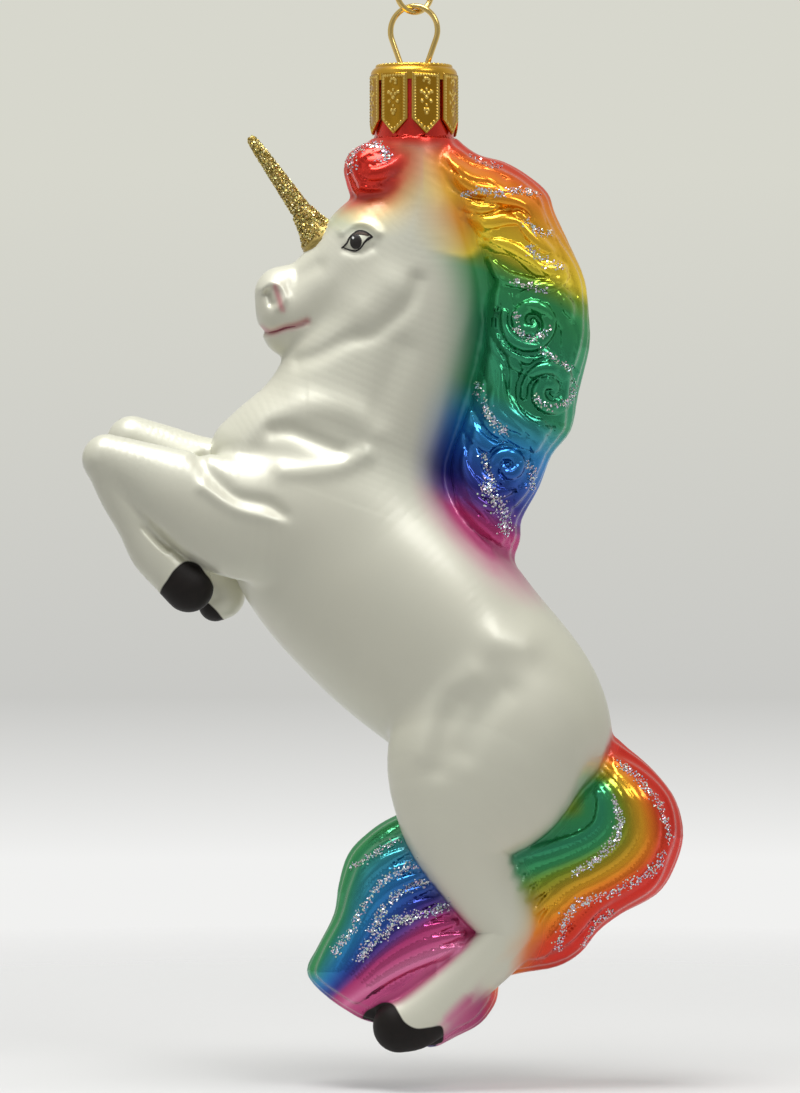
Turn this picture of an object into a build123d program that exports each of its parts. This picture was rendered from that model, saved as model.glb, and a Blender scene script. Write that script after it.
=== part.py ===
"""Blown-glass unicorn ornament, rearing, hung by a wire loop from a stamped crown cap.

Millimetres, +Z up. The origin is where a hook bears inside the upper ring, and the glass neck stands
on the Z axis. The figure faces -X. Its near side looks to -Y and its far side to +Y.
"""

import os
from math import acos, atan2, cos, hypot, pi, sin

from build123d import *

# Driving sizes of the glass figure
figure_height = 137.3
glass_wall = 1.0
neck_outer_diameter = 11.2
neck_tube_length = 14.0
neck_bore_depth = 23.0
neck_rim_round = 0.75

# Driving sizes of the horn and the glue that holds it
horn_length = 17.0
horn_base_diameter = 2.9
horn_tip_diameter = 1.2
horn_lean = 35.0
horn_sink = 1.6
glue_diameter = 5.4
glue_height = 2.6
glue_sink = 1.6

# Driving sizes of the crown cap
cap_sheet = 0.3
cap_clearance = 0.15
cap_height = 9.6
cap_corner = 1.0
rim_bead_diameter = 0.7
petal_count = 8
petal_gap = 0.6
petal_root = 2.0
petal_point = 2.1
cap_turn = -6.0

# Driving sizes of the wire hanger and the upper ring
wire_diameter = 0.8
wire_hole_clearance = 0.15
loop_diameter = 6.9
loop_rise = 5.2
loop_waist = 3.5
loop_bend = 1.2
leg_length = 12.0
leg_clearance = 0.35
hanger_turn = -18.0
ring_diameter = 5.7
ring_wire_diameter = 0.8
ring_turn = 32.0
link_clearance = 0.05

# Pixel coordinates are in the frame of the reference picture: x to the right, y down
figure_top_px = 68
figure_bottom_px = 1049
neck_axis_px = 414
horn_base_px = (319, 236)

# Round forms are lofted through stations: x, y, half height in the picture and half depth across it
torso_px = [
    (258, 462, 34, 30),
    (290, 490, 78, 62),
    (340, 545, 108, 80),
    (400, 605, 114, 88),
    (455, 660, 106, 88),
    (505, 705, 100, 86),
    (550, 748, 82, 74),
    (582, 780, 44, 46),
]
neck_px = [
    (330, 500, 100, 70),
    (355, 430, 96, 64),
    (385, 360, 92, 60),
    (410, 290, 82, 56),
    (424, 225, 52, 52),
    (420, 180, 44, 49),
    (414, 147, 46, 46),
]
chest_px = [
    (322, 426, 57, 53),
    (276, 436, 46, 50),
    (248, 451, 37, 44),
    (232, 462, 20, 26),
]
shoulder_px = [
    (276, 470, 22, 48),
    (312, 470, 42, 71),
    (362, 478, 48, 79),
    (410, 490, 40, 77),
    (446, 502, 22, 64),
]
head_px = [
    (430, 212, 36, 34),
    (412, 224, 54, 46),
    (383, 253, 63, 53),
    (355, 283, 57, 50),
    (323, 300, 49, 38),
    (290, 313, 45, 34),
    (274, 318, 36, 29),
    (262, 317, 20, 17),
]

# The mane follows its own line, from the cap down the back of the neck
mane_px = [
    (438, 158, 14, 26),
    (454, 170, 27, 38),
    (476, 189, 40, 44),
    (500, 217, 48, 47),
    (517, 254, 52, 49),
    (531, 295, 56, 50),
    (533, 340, 57, 50),
    (525, 384, 56, 50),
    (511, 430, 57, 50),
    (497, 466, 50, 49),
    (488, 512, 38, 47),
    (491, 546, 27, 42),
    (495, 576, 14, 30),
    (497, 592, 8, 20),
]

# Legs add the shift of each station to the far side, with the near side as minus
foreleg_near_px = [
    (285, 520, 62, 34, -44),
    (240, 520, 60, 34, -46),
    (190, 500, 46, 30, -46),
    (150, 479, 34, 25, -44),
    (118, 461, 26, 22, -42),
    (102, 455, 15, 15, -42),
]
cannon_near_px = [
    (104, 450, 14, 14, -42),
    (110, 470, 22, 20, -42),
    (120, 495, 21, 19, -41),
    (138, 525, 21, 18, -40),
    (153, 552, 22, 18, -39),
    (170, 572, 22, 18, -38),
]
hoof_fore_near_px = [
    (170, 572, 24, 20, -38),
    (180, 580, 26, 21, -38),
    (194, 590, 26, 21, -38),
    (206, 597, 20, 17, -38),
]
foreleg_far_px = [
    (285, 510, 60, 34, 44),
    (240, 500, 58, 34, 46),
    (195, 480, 44, 30, 46),
    (160, 457, 33, 25, 44),
    (134, 440, 26, 22, 42),
    (118, 436, 15, 15, 42),
]
cannon_far_px = [
    (122, 436, 14, 14, 42),
    (134, 458, 22, 20, 42),
    (152, 492, 21, 19, 41),
    (176, 531, 21, 18, 40),
    (198, 563, 22, 18, 39),
    (212, 582, 22, 18, 38),
]
hoof_fore_far_px = [
    (212, 582, 24, 20, 38),
    (219, 590, 24, 20, 38),
    (229, 602, 22, 19, 38),
    (236, 610, 16, 15, 38),
]
hind_leg_px = [
    (490, 722, 40, 20, -40),
    (476, 764, 92, 46, -52),
    (480, 800, 89, 44, -52),
    (470, 836, 60, 38, -47),
    (482, 876, 39, 29, -42),
    (500, 906, 31, 24, -40),
    (505, 925, 28, 22, -40),
    (490, 948, 27, 21, -40),
    (464, 976, 26, 20, -39),
    (438, 998, 26, 20, -38),
    (420, 1011, 26, 20, -38),
]
hoof_hind_px = [
    (420, 1011, 28, 22, -38),
    (409, 1020, 30, 23, -38),
    (397, 1030, 28, 22, -38),
    (390, 1036, 20, 17, -38),
]

# Other hair is drawn by its outline in the picture, and swells to each side of the middle plane
forelock_outline_px = [
    (376, 141), (358, 147), (346, 160), (344, 176), (349, 196), (372, 212), (400, 205), (418, 180),
    (416, 155), (398, 141),
]
forelock_centre_px = (384, 174)
forelock_half_depth_px = 40
tail_right_outline_px = [
    (604, 728), (630, 750), (660, 778), (678, 812), (682, 842), (668, 880), (640, 903), (606, 922),
    (586, 948), (560, 965), (520, 971), (499, 984), (490, 1010), (466, 1031), (430, 1044), (410, 1020),
    (450, 960), (480, 915), (470, 860), (510, 800), (570, 750),
]
tail_right_centre_px = (570, 870)
tail_right_half_depth_px = 54
tail_left_outline_px = [
    (430, 808), (396, 817), (366, 836), (346, 860), (338, 898), (322, 940), (308, 968), (318, 986),
    (344, 1005), (376, 1024), (420, 1015), (470, 965), (490, 915), (470, 850),
]
tail_left_centre_px = (400, 922)
tail_left_half_depth_px = 46
tail_web_px = (430, 538)

# Hair swells from its edge to its side: share of the half depth, and share of the outline kept there
swell_shares = [
    (-1.0, 0.50), (-0.86, 0.74), (-0.5, 0.93), (0.0, 1.0), (0.5, 0.93), (0.86, 0.74), (1.0, 0.50),
]
section_points = 12
cut_overrun = 1.0

# Heights down the hanging line, from the hook's seat to the rim of the neck
mm_per_px = figure_height / (figure_bottom_px - figure_top_px)
ring_radius = ring_diameter / 2
ring_z = -(ring_radius - ring_wire_diameter / 2)
loop_radius = loop_diameter / 2
loop_top_z = ring_z - ring_radius + ring_wire_diameter / 2 + wire_diameter / 2 + link_clearance
loop_z = loop_top_z - loop_radius
cap_top_z = loop_z - loop_rise
rim_z = cap_top_z - cap_sheet
neck_radius = neck_outer_diameter / 2
bore_radius = neck_radius - glass_wall
cap_inner_radius = neck_radius + cap_clearance
cap_radius = cap_inner_radius + cap_sheet


def spot(x_px, y_px, depth_px=0):
    """A point of the figure from its place in the picture and its depth."""
    across = (x_px - neck_axis_px) * mm_per_px
    height = cap_top_z - (y_px - figure_top_px) * mm_per_px
    return Vector(across, depth_px * mm_per_px, height)


def oval(plane, half_height, half_depth):
    """An elliptical section on the plane, always started from the same point."""
    angles = [2 * pi * index / section_points for index in range(section_points)]
    points = [plane.from_local_coords((half_depth * cos(a), half_height * sin(a), 0)) for a in angles]
    return Face(Wire([Spline(points, periodic=True)]))


def round_form(stations, inset=0, side=1):
    """A smooth loft through oval sections that stand square to the line through their centres."""
    centres = [spot(s[0], s[1], side * s[4] if len(s) > 4 else 0) for s in stations]
    last = len(centres) - 1
    sections = []
    for index, station in enumerate(stations):
        along = centres[min(index + 1, last)] - centres[max(index - 1, 0)]
        plane = Plane(origin=centres[index], x_dir=(0, 1, 0), z_dir=along)
        half_height = station[2] * mm_per_px - inset
        half_depth = station[3] * mm_per_px - inset
        sections.append(oval(plane, half_height, half_depth))
    return loft(sections)


def hair_form(outline_px, centre_px, half_depth_px, inset=0):
    """A lock of hair: its outline at the middle plane, drawn in toward both sides."""
    centre = spot(*centre_px)
    points = [spot(*point) for point in outline_px]
    reach = sum((point - centre).length for point in points) / len(points)
    half_depth = half_depth_px * mm_per_px - inset
    sections = []
    for depth_share, outline_share in swell_shares:
        scale = outline_share * (1 - inset / reach)
        level = Vector(0, depth_share * half_depth, 0)
        ring = [centre + (point - centre) * scale + level for point in points]
        sections.append(Face(Wire([Spline(ring, periodic=True)])))
    return loft(sections)


def hollow_hair(outline_px, centre_px, half_depth_px):
    """A lock of hair as a thin glass shell."""
    outside = hair_form(outline_px, centre_px, half_depth_px)
    return outside - hair_form(outline_px, centre_px, half_depth_px, glass_wall)


def main_piece(form):
    """The form without the slivers that cuts may free at its seams."""
    return form.solids().sort_by(SortBy.VOLUME)[-1]


def tail_web():
    """The stretch round the hind legs where the tail's glass has run together."""
    left = spot(tail_web_px[0], figure_bottom_px)
    right = spot(tail_web_px[1], figure_top_px)
    width = right.X - left.X
    middle = Pos((left.X + right.X) / 2, 0, (left.Z + right.Z) / 2)
    return middle * Box(width, figure_height, right.Z - left.Z)


def upright(radius, top_z, bottom_z):
    """A round bar on the neck's axis between two heights."""
    middle = (top_z + bottom_z) / 2
    return Pos(0, 0, middle) * Cylinder(radius, top_z - bottom_z)


def figure_outside():
    """The body, neck, head and legs as one solid form, down to where the hooves begin."""
    form = round_form(torso_px)
    for stations in (neck_px, shoulder_px, chest_px, head_px):
        form += round_form(stations)
    tube = upright(neck_radius, rim_z, rim_z - neck_tube_length)
    form += fillet(tube.edges().group_by(Axis.Z)[-1], neck_rim_round)
    for stations in (foreleg_near_px, cannon_near_px, foreleg_far_px, cannon_far_px):
        form += round_form(stations)
    for side in (1, -1):
        form += round_form(hind_leg_px, side=side)
    return form


def figure_hollow():
    """The room inside the glass, open through the neck's bore. The shins stay solid."""
    room = round_form(torso_px[1:-1], glass_wall) + round_form(neck_px[:-2], glass_wall)
    room += round_form(chest_px[:-1], glass_wall) + round_form(head_px[1:-1], glass_wall)
    room += upright(bore_radius, rim_z + cut_overrun, rim_z - neck_bore_depth)
    for stations in (foreleg_near_px, foreleg_far_px):
        room += round_form(stations[:-1], glass_wall)
    for side in (1, -1):
        room += round_form(hind_leg_px[:5], glass_wall, side)
    return room


def horn_plane():
    """The horn's foot, with its axis leaning forward from the upright."""
    lean = horn_lean * pi / 180
    return Plane(origin=spot(*horn_base_px), x_dir=(0, 1, 0), z_dir=(-sin(lean), 0, cos(lean)))


def horn_spike():
    """The horn before it is seated: a tapered rod with a round tip."""
    tip_radius = horn_tip_diameter / 2
    shaft = horn_length - tip_radius + horn_sink
    rod = Pos(0, 0, shaft / 2 - horn_sink) * Cone(horn_base_diameter / 2, tip_radius, shaft)
    tip = Pos(0, 0, horn_length - tip_radius) * Sphere(tip_radius)
    return horn_plane() * (rod + tip)


def horn_bead():
    """The bead of glue before it is seated, flared out onto the forehead."""
    foot = Pos(0, 0, -glue_sink / 2) * Cylinder(glue_diameter / 2, glue_sink)
    flare = Pos(0, 0, glue_height / 2) * Cone(glue_diameter / 2, horn_base_diameter / 2, glue_height)
    return horn_plane() * (foot + flare)


def crown_cap():
    """The stamped cap: a round top with a bead at its edge, and a skirt cut into pointed petals."""
    bottom_z = cap_top_z - cap_height
    shell = upright(cap_radius, cap_top_z, bottom_z)
    shell = fillet(shell.edges().group_by(Axis.Z)[-1], cap_corner)
    inside = upright(cap_inner_radius, rim_z, bottom_z - cut_overrun)
    inside = fillet(inside.edges().group_by(Axis.Z)[-1], cap_corner - cap_sheet)
    shell -= inside
    shell += Pos(0, 0, cap_top_z) * Torus(cap_radius - cap_corner, rim_bead_diameter / 2) - inside
    half_gap = petal_gap / 2
    half_pitch = cap_radius * sin(pi / petal_count)
    low = bottom_z - cut_overrun
    corners = [
        (half_gap, cap_top_z - petal_root),
        (half_gap, bottom_z + petal_point),
        (half_pitch, bottom_z),
        (half_pitch, low),
    ]
    notch = corners + [(-x, z) for x, z in reversed(corners)]
    cutter = extrude(Plane.XZ * make_face(Polyline(*notch, close=True)), cap_radius + cut_overrun)
    for index in range(petal_count):
        shell -= Rot(0, 0, cap_turn + 360 * index / petal_count) * cutter
    return shell - wire_holes()


def wire_holes():
    """Two holes in the cap's top for the hanger."""
    hole = Cylinder(wire_diameter / 2 + wire_hole_clearance, cap_sheet + 2 * cut_overrun)
    pair = Part()
    for side in (1, -1):
        pair += Rot(0, 0, hanger_turn) * Pos(side * loop_waist / 2, 0, cap_top_z - cap_sheet / 2) * hole
    return pair


def hanger_wire():
    """A spring wire: a round loop above the cap, a waist at its holes and two legs spread in the neck."""
    waist = Vector(loop_waist / 2, 0, cap_top_z)
    foot = Vector(bore_radius - wire_diameter / 2 - leg_clearance, 0, cap_top_z - leg_length)
    centre = Vector(0, 0, loop_z)
    reach = hypot(waist.X, loop_z - cap_top_z)
    swing = acos(loop_radius / reach)
    down = atan2(cap_top_z - loop_z, waist.X)
    touch = centre + Vector(loop_radius * cos(down + swing), 0, loop_radius * sin(down + swing))
    right = FilletPolyline(foot, waist, touch, radius=loop_bend)
    left = mirror(right, about=Plane.YZ)
    bow = ThreePointArc(touch, Vector(0, 0, loop_top_z), Vector(-touch.X, 0, touch.Z))
    path = Wire(right.edges() + bow.edges() + left.edges())
    section = Plane(origin=foot, z_dir=waist - foot) * Circle(wire_diameter / 2)
    return Rot(0, 0, hanger_turn) * sweep(section, path=path)


def jump_ring():
    """The round wire ring that the loop hangs in."""
    ring = Rot(90, 0, 0) * Torus(ring_radius, ring_wire_diameter / 2)
    return Rot(0, 0, ring_turn) * Pos(0, 0, ring_z) * ring


outside = figure_outside()
hoof_fore_near = round_form(hoof_fore_near_px) - outside
hoof_fore_far = round_form(hoof_fore_far_px) - outside
hoof_hind_near = round_form(hoof_hind_px) - outside
hoof_hind_far = round_form(hoof_hind_px, side=-1) - outside
cap_room = upright(cap_radius + cap_clearance, cap_top_z, cap_top_z - cap_height - cap_clearance)
spike = horn_spike()

mane = round_form(mane_px) - round_form(mane_px[1:-2], glass_wall)
mane = main_piece(mane - outside - cap_room)
forelock = hollow_hair(forelock_outline_px, forelock_centre_px, forelock_half_depth_px)
forelock = main_piece(forelock - outside - cap_room - mane)
tail_right = (tail_right_outline_px, tail_right_centre_px, tail_right_half_depth_px)
tail_left = (tail_left_outline_px, tail_left_centre_px, tail_left_half_depth_px)
tail = hair_form(*tail_right) + hair_form(*tail_left)
for lobe in (tail_right, tail_left):
    tail -= hair_form(*lobe, glass_wall) - tail_web()
tail = main_piece(tail - outside - hoof_hind_near - hoof_hind_far)

nodes = {
    "glass_body": outside - figure_hollow(),
    "mane": mane,
    "forelock": forelock,
    "tail": tail,
    "hoof_fore_near": hoof_fore_near,
    "hoof_fore_far": hoof_fore_far,
    "hoof_hind_near": hoof_hind_near,
    "hoof_hind_far": hoof_hind_far,
    "horn": spike - outside,
    "horn_glue": horn_bead() - outside - spike,
    "crown_cap": crown_cap(),
    "hanger_wire": hanger_wire(),
    "jump_ring": jump_ring(),
}
os.makedirs("parts", exist_ok=True)
for name, piece in nodes.items():
    export_step(piece, f"parts/{name}.step")
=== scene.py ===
"""Looks of the blown-glass unicorn ornament: the lacquered figure, its glitter, horn, cap and wires.

The figure is sculpted as one smooth field and meshed here. Places on it are pixels of the photograph, x to
the right and y down. A point in space is x, depth and y, with its depth in pixels too, plus on the far side.
"""
import math

import bmesh
import bpy
import numpy as np
import openvdb
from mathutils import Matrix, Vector
from mathutils.bvhtree import BVHTree


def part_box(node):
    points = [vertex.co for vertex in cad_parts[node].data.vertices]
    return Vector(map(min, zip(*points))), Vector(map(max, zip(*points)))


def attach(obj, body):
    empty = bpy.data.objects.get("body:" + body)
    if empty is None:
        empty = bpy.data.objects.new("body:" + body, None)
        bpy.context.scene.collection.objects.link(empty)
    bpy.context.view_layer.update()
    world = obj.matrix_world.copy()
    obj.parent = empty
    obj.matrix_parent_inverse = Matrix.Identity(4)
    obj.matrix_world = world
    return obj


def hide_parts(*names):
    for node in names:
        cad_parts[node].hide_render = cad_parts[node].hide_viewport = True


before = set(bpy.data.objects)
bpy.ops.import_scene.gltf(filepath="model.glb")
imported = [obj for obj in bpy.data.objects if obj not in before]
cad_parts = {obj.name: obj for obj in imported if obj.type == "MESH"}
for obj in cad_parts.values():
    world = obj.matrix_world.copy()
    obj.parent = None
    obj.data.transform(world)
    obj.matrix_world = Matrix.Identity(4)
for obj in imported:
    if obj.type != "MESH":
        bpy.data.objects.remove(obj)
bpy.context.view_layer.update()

# The photograph's frame, and its scale on the object
PHOTO_WIDTH = 800
PHOTO_HEIGHT = 1093
FIGURE_HEIGHT = 0.1373
FIGURE_PX = 981
PIXEL = FIGURE_HEIGHT / FIGURE_PX
NECK_AXIS_PX = 414
RIM_PX = 70.1
RIM_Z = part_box("glass_body")[1][2]

# How finely the figure is sculpted, in pixels: its cells, halved near the surface, and the pulls that lay the
# mesh on the surface; how finely its lines are drawn; and its glass wall in metres
VOXEL = 2.7
HALVINGS = 2
NEAR_CELLS = 1.7
SURFACE_PULLS = 2
LEAST_SLOPE = 0.09
FAR = 60.0
TINY = 1e-9
TRUNK_STEPS = 10
LIMB_STEPS = 6
LINE_STEPS = 5
FIELD_LOW = np.array([60.0, -118.0, 58.0])
FIELD_HIGH = np.array([706.0, 118.0, 1068.0])
GLASS_WALL = 0.0006

# The glass neck under the cap, and the room that the cap's petals need, in pixels
NECK_RADIUS = 39.6
BORE_RADIUS = 33.4
BORE_END = 232
CAP_ROOM_RADIUS = 45.5
CAP_ROOM_END = 139.5
NECK_FLARE_PX = 166

# Round forms run through stations: x, depth, y, half height in the picture, half depth across it
TORSO = [
    (268, 0, 466, 40, 36), (292, 0, 492, 78, 62), (340, 0, 545, 108, 80), (400, 0, 605, 114, 88),
    (455, 0, 660, 106, 88), (505, 0, 705, 95, 85), (535, 0, 735, 77, 74), (556, 0, 757, 52, 56),
]
NECK = [
    (330, 0, 500, 100, 70), (355, 0, 430, 96, 64), (385, 0, 360, 92, 60), (410, 0, 290, 82, 56),
    (424, 0, 225, 54, 52), (420, 0, 185, 46, 49), (414, 0, 152, 44, 46),
]
HEAD = [
    (420, 0, 222, 50, 44), (385, 0, 251, 62, 50), (355, 0, 281, 57, 46), (325, 0, 299, 48, 38),
    (302, 0, 308, 42, 33),
]
NOSE = [(281, 0, 293, 26, 27), (284, 0, 312, 27, 26)]
CHIN = [(287, 0, 333, 23, 21), (312, 0, 328, 24, 22)]
CHEST = [(312, 0, 432, 58, 52), (274, 0, 435, 42, 46), (247, 0, 450, 36, 42)]
FORELEG_NEAR = [
    (285, -42, 520, 60, 34), (240, -45, 518, 60, 34), (190, -46, 498, 46, 30), (150, -44, 478, 34, 25),
    (109, -42, 459, 24, 22),
]
CANNON_NEAR = [
    (109, -42, 462, 22, 20), (121, -41, 494, 20, 18), (139, -40, 525, 20, 17), (154, -39, 552, 22, 18),
    (172, -38, 572, 22, 18), (190, -38, 587, 25, 21),
]
FORELEG_FAR = [
    (285, 42, 510, 58, 34), (240, 45, 499, 56, 34), (195, 46, 477, 42, 30), (160, 44, 456, 32, 25),
    (130, 42, 440, 25, 22),
]
CANNON_FAR = [
    (130, 42, 442, 23, 20), (152, 41, 490, 20, 18), (176, 40, 531, 20, 17), (200, 39, 566, 21, 18),
    (223, 38, 594, 21, 19), (214, 38, 605, 17, 17),
]
HIND_LEG = [
    (496, -40, 730, 74, 32), (486, -50, 752, 97, 46), (466, -50, 795, 72, 43), (462, -47, 830, 54, 38),
    (474, -43, 866, 42, 31), (494, -40, 895, 38, 26), (508, -40, 917, 31, 24), (508, -40, 932, 28, 22),
    (492, -40, 952, 27, 21), (464, -39, 978, 26, 20), (440, -38, 998, 27, 21), (416, -38, 1017, 28, 22),
    (399, -38, 1023, 26, 21),
]

# Reach of the soft fillets where forms meet, in pixels
NECK_FILLET = 26
CHEST_FILLET = 18
NOSE_FILLET = 10
CHIN_FILLET = 9
HEAD_FILLET = 9
KNEE_FILLET = 5
FORELEG_FILLET = 12
HIND_LEG_FILLET = 14
FORELOCK_FILLET = 4
MANE_FILLET = 9
TAIL_FILLET = 5
LOBE_FILLET = 8

# Hair is drawn by its outlines in the picture
MANE_LINE = [
    (446, 140), (459, 143), (479, 156), (504, 163), (528, 177), (547, 194), (554, 214), (569, 246),
    (584, 280), (588, 317), (588, 349), (577, 395), (570, 430), (551, 455), (538, 487), (521, 519),
    (519, 541), (508, 568), (500, 584), (478, 572), (452, 520), (446, 470), (458, 420), (474, 370),
    (478, 310), (466, 260), (446, 215), (430, 180), (428, 155),
]
FORELOCK_LINE = [
    (380, 143), (363, 145), (350, 154), (345, 168), (347, 182), (353, 196), (372, 202), (396, 196),
    (412, 180), (414, 158), (400, 144),
]
TAIL_RIGHT_LINE = [
    (606, 735), (629, 750), (655, 773), (675, 801), (682, 836), (672, 870), (655, 894), (621, 913),
    (597, 931), (580, 952), (556, 966), (521, 972), (500, 979), (495, 1001), (480, 1022), (456, 1035),
    (430, 1046), (412, 1030), (440, 990), (480, 940), (480, 880), (490, 840), (540, 800), (590, 760),
]
TAIL_LEFT_LINE = [
    (424, 812), (395, 817), (369, 833), (349, 854), (340, 883), (335, 914), (319, 946), (308, 970),
    (319, 988), (345, 1008), (372, 1021), (410, 1020), (450, 985), (486, 940), (470, 880),
]

# Half depth of the hair, and the width of its rounded edge
MANE_SWELL = (46, 40)
FORELOCK_SWELL = (42, 26)
TAIL_RIGHT_SWELL = (50, 40)
TAIL_LEFT_SWELL = (42, 36)

# Strands combed into the hair; those of the tail fill the room between the edges of its lobes
MANE_STRANDS = [
    [(452, 150), (468, 158), (490, 166), (512, 176), (532, 190), (545, 207), (550, 224)],
    [(446, 158), (460, 170), (472, 178), (490, 180), (502, 190), (515, 186), (520, 178)],
    [(440, 170), (456, 184), (474, 192), (498, 194), (522, 190), (540, 198), (549, 214), (552, 232)],
    [(446, 192), (462, 206), (482, 210), (500, 204), (520, 204), (534, 214), (540, 230), (560, 256)],
    [(462, 218), (484, 226), (504, 222), (520, 222), (530, 236), (544, 248), (558, 254)],
    [(478, 244), (496, 248), (512, 252), (526, 262), (538, 272), (556, 272), (572, 266)],
    [(488, 262), (502, 278), (520, 284), (540, 288), (556, 284), (566, 278)],
    [(556, 232), (566, 252), (576, 272), (583, 292), (582, 312), (572, 322)],
    [(560, 298), (570, 312), (580, 324), (584, 342), (579, 362), (574, 384)],
    [(500, 286), (494, 310), (496, 334), (508, 350), (528, 360), (548, 368), (566, 376)],
    [(486, 330), (490, 352), (500, 372), (500, 396), (508, 412), (524, 424), (540, 440), (548, 452)],
    [(478, 346), (488, 362), (492, 384), (492, 404), (502, 420), (520, 432)],
    [(508, 352), (514, 372), (514, 394), (520, 412), (534, 424), (552, 430), (566, 428)],
    [(470, 366), (478, 384), (480, 404), (490, 424), (506, 440)],
    [(462, 396), (466, 420), (478, 440), (496, 450), (514, 448)],
    [(460, 430), (458, 452), (464, 474), (480, 490), (500, 492), (516, 482), (524, 466)],
    [(530, 440), (538, 452), (534, 470), (526, 488), (516, 504)],
    [(452, 462), (460, 486), (476, 504), (496, 514), (510, 512)],
    [(450, 486), (462, 508), (480, 526), (498, 536), (508, 548)],
    [(446, 504), (460, 528), (480, 548), (496, 562)],
    [(478, 500), (492, 520), (508, 530), (514, 540)],
    [(444, 524), (462, 548), (484, 566), (500, 574)],
]
FORELOCK_STRANDS = [
    [(400, 146), (384, 148), (366, 152), (354, 162), (352, 176), (362, 184)],
    [(408, 158), (398, 168), (380, 176), (364, 176)],
    [(352, 188), (366, 196), (384, 194), (404, 182)],
]
TAIL_RIGHT_EDGES = [
    [(606, 738), (640, 760), (668, 798), (677, 836), (667, 868), (640, 892), (606, 912), (586, 936),
     (566, 956)],
    [(596, 790), (600, 806), (596, 822), (582, 834), (560, 842), (540, 848), (522, 852), (510, 856),
     (502, 862)],
]
TAIL_LEFT_EDGES = [
    [(396, 822), (368, 838), (350, 860), (342, 888), (336, 918), (322, 946), (312, 968)],
    [(470, 944), (440, 950), (412, 960), (388, 972), (370, 984), (356, 994), (346, 1002)],
]
TAIL_STRANDS = [
    [(600, 890), (572, 904), (556, 928), (540, 950), (524, 966)],
    [(566, 896), (548, 914), (536, 936), (520, 956), (506, 970)],
    [(496, 984), (482, 1000), (464, 1014), (446, 1026)],
    [(488, 1004), (472, 1018), (454, 1030), (436, 1040)],
    [(470, 990), (456, 1004), (444, 1018)],
]
TAIL_RIGHT_COUNT = 9
TAIL_LEFT_COUNT = 11
STRAND_WIDTH = 7.4
STRAND_HEIGHT = 5.0
TAPER_RATE = 6
TAPER_LEAST = 0.25

# Curls: centre x and y, outer radius, angle where the lock leaves the curl, and turns
MANE_CURLS = [(529, 324, 27, 200, -1.6), (549, 393, 27, 170, 1.6), (508, 467, 16, 120, 1.3)]
CURL_WIDTH = 7.4
CURL_HEIGHT = 6.5
CURL_CLOSING = 0.88
CURL_POINTS = 25

# Broad locks under the strands, with their half width and height
MANE_LOCKS = [
    [(446, 166), (486, 186), (524, 200), (552, 240)], [(470, 214), (508, 236), (548, 258), (578, 284)],
    [(502, 288), (494, 330), (516, 354), (562, 374)], [(482, 350), (492, 400), (520, 430), (552, 440)],
    [(462, 436), (468, 480), (500, 496), (526, 468)], [(450, 490), (480, 532), (506, 552)],
    [(524, 300), (556, 304), (576, 330), (572, 372)],
]
LOCK_WIDTH = 17
LOCK_HEIGHT = 5.0

# Strands along the back of the hair, and how it narrows where the mane ends and the tail begins
RIDGE_PITCH = 17
RIDGE_HEIGHT = 1.2
RIDGE_WAVE = 26
RIDGE_SWAY = 2.2
MANE_END_PX = (495, 592)
TAIL_ROOT_PX = (730, 800)
END_SHARE = 0.5

# Muscles and features of the body: a line in the picture, its half width and its height
MUSCLES = [
    ([(300, 362), (320, 357), (347, 343), (372, 337), (388, 325), (402, 313), (412, 300), (417, 284)],
     9, -3.4),
    ([(366, 308), (386, 288)], 22, 5),
    ([(343, 234), (355, 226), (368, 227), (378, 235)], 5, 3),
    ([(346, 252), (358, 255), (372, 250)], 5, -2),
    ([(352, 244), (360, 243)], 8, 2),
    ([(269, 295), (272, 304)], 4.5, -5),
    ([(263, 290), (270, 284), (280, 287), (285, 297), (281, 309)], 4.5, 3),
    ([(259, 330), (272, 333), (285, 329), (297, 327), (307, 323)], 3, -3),
    ([(318, 268), (300, 278), (290, 290)], 9, -2.5),
    ([(245, 440), (270, 418), (310, 408), (350, 415), (372, 435)], 16, 4),
    ([(274, 432), (292, 432), (312, 440), (340, 452)], 9, -3.4),
    ([(286, 472), (330, 470), (366, 455)], 10, 3),
    ([(201, 459), (208, 471), (226, 489), (240, 499), (269, 505), (284, 517)], 8, -4),
    ([(206, 488), (243, 511), (283, 521)], 7, 3),
    ([(470, 672), (446, 690), (432, 716), (424, 748)], 15, 3.4),
    ([(456, 700), (444, 730), (436, 764)], 13, -3.2),
    ([(502, 690), (478, 716), (464, 746)], 15, -3),
    ([(498, 640), (522, 642)], 20, 4),
    ([(402, 352), (382, 400), (374, 440)], 15, -3),
    ([(148, 528), (160, 540), (170, 548)], 4, -3),
]
SOFT_REACH = 2.6

# Pink paint: a line, its half width and how strong it is; and the depth where it begins
BLUSHES = [
    ([(276, 288), (279, 298), (283, 311)], 2.8, 0.8),
    ([(261, 329), (272, 333), (285, 329), (297, 326), (308, 322)], 3.2, 0.8),
]
BLUSH_FROM = 4

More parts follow.
